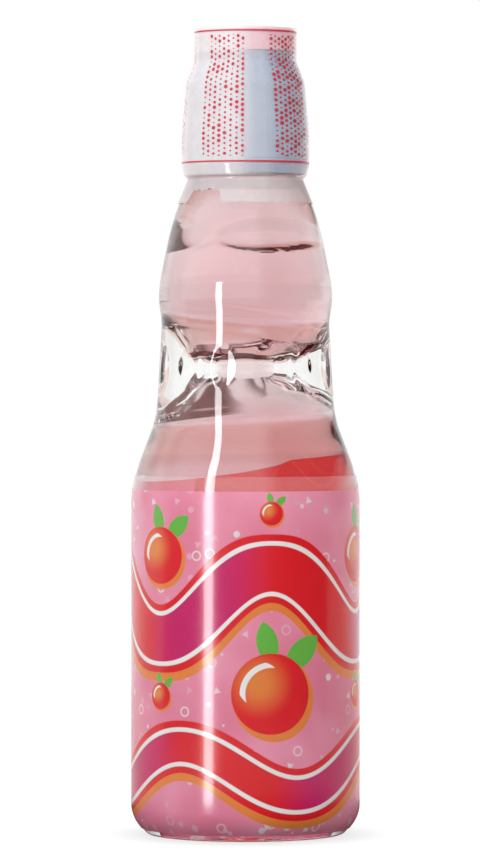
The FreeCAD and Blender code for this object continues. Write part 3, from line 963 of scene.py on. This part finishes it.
class BOTTLE_OT_marble(bpy.types.Operator):
    """Adds the glass marble with the faint seam of its mould"""

    bl_idname = "bottle.add_marble"
    bl_label = "Marble"

    def execute(self, context):
        top = context.scene.bottle_top
        across_seam, seam_width, seam_depth = Vector((0.5, 0.2, 0.84)), 0.5 * MM, 0.0015
        bm = bmesh.new()
        bmesh.ops.create_icosphere(bm, subdivisions=5, radius=top.marble)
        for vert in bm.verts:
            seam = ease(1.0 - abs(vert.co.dot(across_seam)) / seam_width)
            vert.co *= 1.0 - seam_depth * seam
        bmesh.ops.translate(bm, verts=bm.verts, vec=(0.0, 0.0, top.marble_level))
        material = glass_material("marble_glass", context.scene.bottle_colours.marble, 0.01)
        add_piece(
            context, bm, "glass_marble", [material], "marble", "marble", sharp=80.0,
        )
        return {"FINISHED"}


class BOTTLE_OT_cap(bpy.types.Operator):
    """Adds the screw cap with its inside thread, and the gasket in it"""

    bl_idname = "bottle.add_cap"
    bl_label = "Cap and gasket"

    def execute(self, context):
        scene = context.scene
        glass, top, colours = scene.bottle_glass, scene.bottle_top, scene.bottle_colours
        low, rim = top.cap_level, glass.rim_level
        roof, seat = rim + 3.0 * MM, rim + 0.5 * MM
        gasket_room, boss_foot = top.gasket_out + 0.3 * MM, top.cap_top - 2.1 * MM
        groove, groove_half, groove_depth = low + 3.7 * MM, 0.3 * MM, 0.25 * MM
        bm = bmesh.new()
        chain(bm, [
            (top.cap_in, low, 0.3),
            (top.cap - top.cap_edge, low, 0.5),
            (top.cap, low + top.cap_band, 0.5),
            (top.cap, groove - groove_half, 0.2),
            (top.cap - groove_depth, groove, 0.15),
            (top.cap, groove + groove_half, 0.2),
            (top.cap, low + top.cap_straight, 30),
            (top.cap_shoulder, top.cap_top - top.cap_drop, 3),
            (top.cap_boss, boss_foot, 0.4),
            (top.cap_boss, top.cap_top, 0.4),
            (top.cap_bore, top.cap_top, 0.4),
            (top.cap_bore, roof),
            (gasket_room, roof),
            (gasket_room, seat),
            (top.cap_in, seat),
        ], closed=True)
        divide(bm, 0.5 * MM, low + MM, rim)
        spin(bm, 144)
        levels = low + 1.2 * MM, rim - 2.5 * MM
        add_thread(bm, glass.thread_pitch, levels, (0.0, top.cap_in + 0.1 * MM), -0.4 * MM)
        plastic = plastic_material("cap_plastic", colours.cap, 0.36, 0.03)
        add_piece(context, bm, "cap_bell", [plastic], "cap", "screw_cap")

        foot, head = rim + 0.05 * MM, rim + 2.95 * MM
        bm = bmesh.new()
        chain(bm, [
            (top.gasket_in, foot, 0.5),
            (top.gasket_out, foot, 0.5),
            (top.gasket_out, head, 0.5),
            (top.gasket_in, head, 0.5),
        ], closed=True)
        divide(bm, MM)
        spin(bm, 128)
        rubber = rubber_material(colours)
        add_piece(context, bm, "gasket_seal", [rubber], "gasket", "cap_gasket")
        return {"FINISHED"}


class BOTTLE_OT_opener(bpy.types.Operator):
    """Adds the pull ring with its nibs and the opener plug inside it"""

    bl_idname = "bottle.add_opener"
    bl_label = "Ring and opener"

    def execute(self, context):
        top, colours = context.scene.bottle_top, context.scene.bottle_colours
        self.add_ring(context, top, colours)
        self.add_plug(context, top, colours)
        return {"FINISHED"}

    def add_ring(self, context, top, colours):
        """A ring with a groove under it and four nibs inside."""
        low, wall = top.cap_top + 0.1 * MM, 1.0 * MM
        groove = low + 3.6 * MM
        bm = bmesh.new()
        chain(bm, [
            (top.ring_in, low, 0.2),
            (top.ring_in + wall, low, 0.2),
            (top.ring_in + wall, groove, 0.4),
            (top.ring_out - wall, groove, 0.4),
            (top.ring_out - wall, low, 0.2),
            (top.ring_out, low, 0.2),
            (top.ring_out - 0.2 * MM, top.ring_top, 0.9),
            (top.ring_in, top.ring_top, 0.4),
        ], closed=True)
        divide(bm, 0.7 * MM)
        spin(bm, 144)
        nibs, nib_width, nib_height, nib_depth = 4, 0.8 * MM, 0.7 * MM, 0.25 * MM
        for vert, out, angle in around(bm):
            away = from_nearest(angle, nibs, out)
            rise = abs(vert.co.z - top.ring_top + 1.8 * MM)
            if out < top.ring_in + 0.05 * MM and away < nib_width and rise < nib_height:
                set_out(vert, out - nib_depth)
        plastic = plastic_material("ring_plastic", colours.ring, 0.3, 0.025)
        add_piece(context, bm, "pull_ring", [plastic], "ring", "opener_ring")

    def add_plug(self, context, top, colours):
        """A plug with a dished head and four hollows down its stem."""
        head = top.ring_top - 0.2 * MM
        under, dish = head - 2.6 * MM, head - MM
        dish_rim, dish_floor = 6.5 * MM, 5.5 * MM
        bm = bmesh.new()
        chain(bm, [
            (0.0, top.stem_level),
            (top.stem, top.stem_level, 0.8),
            (top.stem, under, 0.5),
            (top.head, under, 0.5),
            (top.head, head, 0.5),
            (dish_rim, head, 0.5),
            (dish_floor, dish, 1.5),
            (0.0, dish),
        ])
        divide(bm, 0.8 * MM)
        spin(bm, 144)
        hollows, hollow_width, hollow_depth = 4, 2.6 * MM, 1.5 * MM
        for vert, out, angle in around(bm):
            if vert.co.z < under - 0.5 * MM and out > 0.5 * top.stem:
                away = from_nearest(angle, hollows, out) / hollow_width
                set_out(vert, out - hollow_depth * (1.0 - ease(away)))
        plastic = plastic_material("opener_plastic", colours.ring, 0.3, 0.025)
        add_piece(
            context, bm, "opener_plug", [plastic], "opener", "opener_plunger",
        )


class BOTTLE_OT_film(bpy.types.Operator):
    """Adds the clear film over the ring and the cap, torn at its lower left"""

    bl_idname = "bottle.add_film"
    bl_label = "Film"

    def execute(self, context):
        scene = context.scene
        glass, top = scene.bottle_glass, scene.bottle_top
        bm = bmesh.new()
        for gap in (top.film_gap + top.film_thickness, top.film_gap):
            chain(bm, [
                (glass.neck + gap, glass.neck_level),
                (glass.collar + gap, glass.collar_level, 1),
                (top.cap - top.cap_edge + gap, top.cap_level - 0.35 * MM, 1),
                (top.cap + gap, top.cap_level + top.cap_band, 0.5),
                (top.cap + gap, top.cap_level + top.cap_straight, 30),
                (top.cap_shoulder + gap, top.cap_top - top.cap_drop, 3),
                (top.ring_out + gap, top.cap_top - 2.45 * MM, 1),
                (top.ring_out + gap, top.ring_top + 2.0 * MM),
            ])
        divide(bm, 0.6 * MM, top.film_low - 2 * MM, top.cap_level)
        divide(bm, 1.6 * MM)
        trim(bm, top.film_low, top.ring_top)
        spin(bm, 288)
        self.tear(bm, glass, top)
        material = film_material(scene.bottle_colours, glass, top)
        add_piece(context, bm, "shrink_film", [material], "film", "cap_film")
        return {"FINISHED"}

    def tear(self, bm, glass, top):
        """Draws the lower edge up the neck where it is torn, and leaves it ragged all round."""
        still = glass.collar_level - 0.2 * MM
        slope = (glass.neck - glass.collar) / (glass.collar_level - glass.neck_level)
        tear_start, tear_end, start_ramp, end_ramp = -60.0, -21.0, 5.0, 3.0
        fringe, jag = 0.35 * MM, 0.6 * MM
        for vert, out, angle in around(bm):
            if vert.co.z >= still:
                continue
            turn = math.degrees(angle)
            spot = Vector((8.0 * math.sin(angle), 8.0 * math.cos(angle), 0.0))
            rag = fringe * abs(noise.noise(spot))
            torn = ease((turn - tear_start) / start_ramp) * ease((tear_end - turn) / end_ramp)
            rag += torn * (top.tear_rise - 0.5 * MM + jag * noise.noise(2.5 * spot))
            lift = rag * (still - vert.co.z) / (still - top.film_low)
            vert.co.z += lift
            set_out(vert, out - slope * lift)


class BOTTLE_OT_stage(bpy.types.Operator):
    """Adds the pale floor, the studio light and the camera"""

    bl_idname = "bottle.add_stage"
    bl_label = "Stage"

    def execute(self, context):
        scene, stage = context.scene, context.scene.bottle_stage
        self.add_floor(context)
        self.light_room(context, stage)
        self.add_strip(context, stage)
        for name, spot in SOFT_LAMPS.items():
            self.add_soft_lamp(context, name, spot, getattr(stage, name))
        self.add_camera(context, stage)
        scene.view_settings.view_transform = "Standard"
        scene.cycles.max_bounces = scene.cycles.transmission_bounces = stage.bounces
        scene.cycles.glossy_bounces = stage.mirrors
        return {"FINISHED"}

    def add_camera(self, context, stage):
        """A camera at the front, a little over the middle of the bottle."""
        camera = bpy.data.cameras.new("photo_camera")
        camera.sensor_fit = "VERTICAL"
        camera.angle = stage.view
        camera.clip_start = 10 * MM
        spot = Vector((-stage.aside, -stage.distance, stage.height))
        look = Vector((-stage.aside, 0.0, stage.aim)) - spot
        context.scene.camera = add_facing(context, "photo_camera", camera, spot, look)

    def add_floor(self, context):
        """A glowing floor: white with a painted contact shadow for the camera; to the glass it
        shows painted shade under the bottle, a ring of painted warm light and a pale far end.
        """
        bm = bmesh.new()
        bmesh.ops.create_grid(bm, x_segments=8, y_segments=8, size=FLOOR_HALF)
        bmesh.ops.translate(bm, verts=bm.verts, vec=(0.0, 0.0, FLOOR_LEVEL))
        mesh = bpy.data.meshes.new("floor")
        bm.to_mesh(mesh)
        bm.free()
        shade = new_shade("floor_white")
        spot = shade.spot()
        deep = shade.node("SeparateXYZ", {"Vector": spot}).outputs["Y"]
        away = shade.node("VectorMath", {"Vector": spot}, operation="LENGTH").outputs["Value"]
        # Painted light and shade that the glass shows: dark under and round the bottle, warm where
        # the ring and front are lit.
        ring = shade.times(*(shade.step(away, *edge) for edge in FLOOR_RING))
        lit = shade.math("MAXIMUM", ring, shade.step(deep, *FLOOR_FRONT))
        lit = shade.times(lit, shade.step(away, *FLOOR_SHADE_UNDER_BOTTLE))
        tone = shade.mix(lit, FLOOR_PAINTED_SHADE, FLOOR_PAINTED_WARM_LIGHT)
        tone = shade.mix(shade.step(deep, *FLOOR_FAR), tone, FLOOR_PALE)
        # Painted contact shadow: the camera sees the floor darker close round the foot.
        clear = shade.step(away, *FLOOR_CONTACT_SHADOW)
        white = shade.scale(clear, FLOOR_WHITE - FLOOR_SHADOW, FLOOR_SHADOW)
        plain = shade.node("CombineColor", {0: white, 1: white, 2: white}).outputs[0]
        seen = shade.node("LightPath").outputs["Is Camera Ray"]
        material = shade.end(shade.principled(
            base_color=(0.01, 0.01, 0.01), roughness=0.9,
            emission_color=shade.mix(seen, tone, plain), emission_strength=1.0,
        ))
        mesh.materials.append(material)
        floor = bpy.data.objects.new("floor", mesh)
        context.collection.objects.link(floor)

    def light_room(self, context, stage):
        """A room with a wide panel at the front left, a white wall behind and dim sides."""
        world = bpy.data.worlds.new("studio")
        context.scene.world = world
        shade = Shade(world)
        way = shade.node("TexCoord").outputs["Generated"]
        x, y, z = shade.node("SeparateXYZ", {"Vector": way}).outputs
        angle = shade.math("DEGREES", shade.math("ARCTAN2", x, shade.times(y, -1.0)))
        left, right = (shade.step(angle, *edge) for edge in PANEL_SIDES)
        panel = shade.times(left, right, shade.step(z, *PANEL_TOP), stage.panel)
        left, right = (shade.step(angle, *edge) for edge in BACK_SIDES)
        notch = shade.times(shade.step(z, *NOTCH_FOOT), shade.step(x, *NOTCH_SIDE))
        back = shade.times(
            shade.math("MAXIMUM", left, right), shade.math("SUBTRACT", 1.0, notch),
        )
        glow = shade.scale(back, stage.back, panel)
        glow = shade.scale(shade.step(z, *OVERHEAD), stage.top, glow)
        seen = shade.node("LightPath").outputs["Is Camera Ray"]
        glow = shade.math("MAXIMUM", glow, seen)
        tone = shade.mix(shade.math("MINIMUM", glow, 1.0), shaded(DIM_TINT, stage.fill), WHITE)
        strength = shade.math("MAXIMUM", glow, 1.0)
        light = shade.node("Background", {"Color": tone, "Strength": strength})
        shade.node("OutputWorld", {"Surface": light.outputs[0]})

    def add_soft_lamp(self, context, name, spot, power):
        """A wide lamp that lights the print and the plastics and isn't mirrored in the glass."""
        lamp = bpy.data.lights.new(name, "AREA")
        lamp.size = SOFT_LAMP_SIZE
        lamp.energy = power
        soft = add_facing(context, name, lamp, spot, SOFT_LAMP_AIM - Vector(spot))
        soft.visible_camera = soft.visible_glossy = soft.visible_transmission = False

    def add_strip(self, context, stage):
        """A narrow upright light near the bottle, which draws a bright line down the glass."""
        lamp = bpy.data.lights.new("strip", "AREA")
        lamp.shape = "RECTANGLE"
        lamp.size, lamp.size_y = stage.strip_width, stage.strip_height
        lamp.energy = stage.strip * math.pi * lamp.size * lamp.size_y
        way = Vector((math.sin(stage.strip_turn), -math.cos(stage.strip_turn), 0.0))
        spot = stage.strip_distance * way + Vector((0.0, 0.0, stage.strip_height / 2))
        strip = add_facing(context, "strip", lamp, spot, -way)
        strip.visible_camera = strip.visible_diffuse = strip.visible_transmission = False


class BOTTLE_PT_panel(bpy.types.Panel):
    """Sizes, colours and pieces of the bottle"""

    bl_label = "Marble Stopper Bottle"
    bl_idname = "BOTTLE_PT_panel"
    bl_space_type = "VIEW_3D"
    bl_region_type = "UI"
    bl_category = "Bottle"

    def draw(self, context):
        layout = self.layout
        for operator in OPERATORS:
            layout.operator(operator.bl_idname)
        for key, group in GROUPS.items():
            box = layout.box()
            box.label(text=group.__doc__)
            for name in group.__annotations__:
                text = name.replace("_", " ").capitalize()
                box.prop(getattr(context.scene, key), name, text=text)


GROUPS = {
    "bottle_glass": BottleGlass,
    "bottle_top": BottleTop,
    "bottle_label": BottleLabel,
    "bottle_colours": BottleColours,
    "bottle_stage": BottleStage,
}
OPERATORS = (
    BOTTLE_OT_glass, BOTTLE_OT_drink, BOTTLE_OT_label, BOTTLE_OT_marble,
    BOTTLE_OT_cap, BOTTLE_OT_opener, BOTTLE_OT_film, BOTTLE_OT_stage,
)
CLASSES = (*GROUPS.values(), *OPERATORS, BOTTLE_PT_panel)


def register():
    """Adds the classes, and the groups of sizes to the scene."""
    for item in CLASSES:
        bpy.utils.register_class(item)
    for key, group in GROUPS.items():
        setattr(bpy.types.Scene, key, bpy.props.PointerProperty(type=group))


def unregister():
    """Takes the groups and the classes out again."""
    for key in GROUPS:
        delattr(bpy.types.Scene, key)
    for item in reversed(CLASSES):
        bpy.utils.unregister_class(item)


def main():
    """Adds every piece and the stage."""
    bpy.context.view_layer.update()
    register()
    bpy.ops.bottle.add_glass()
    bpy.ops.bottle.add_drink()
    bpy.ops.bottle.add_label()
    bpy.ops.bottle.add_marble()
    bpy.ops.bottle.add_cap()
    bpy.ops.bottle.add_opener()
    bpy.ops.bottle.add_film()
    bpy.ops.bottle.add_stage()


if __name__ == "__main__":
    main()
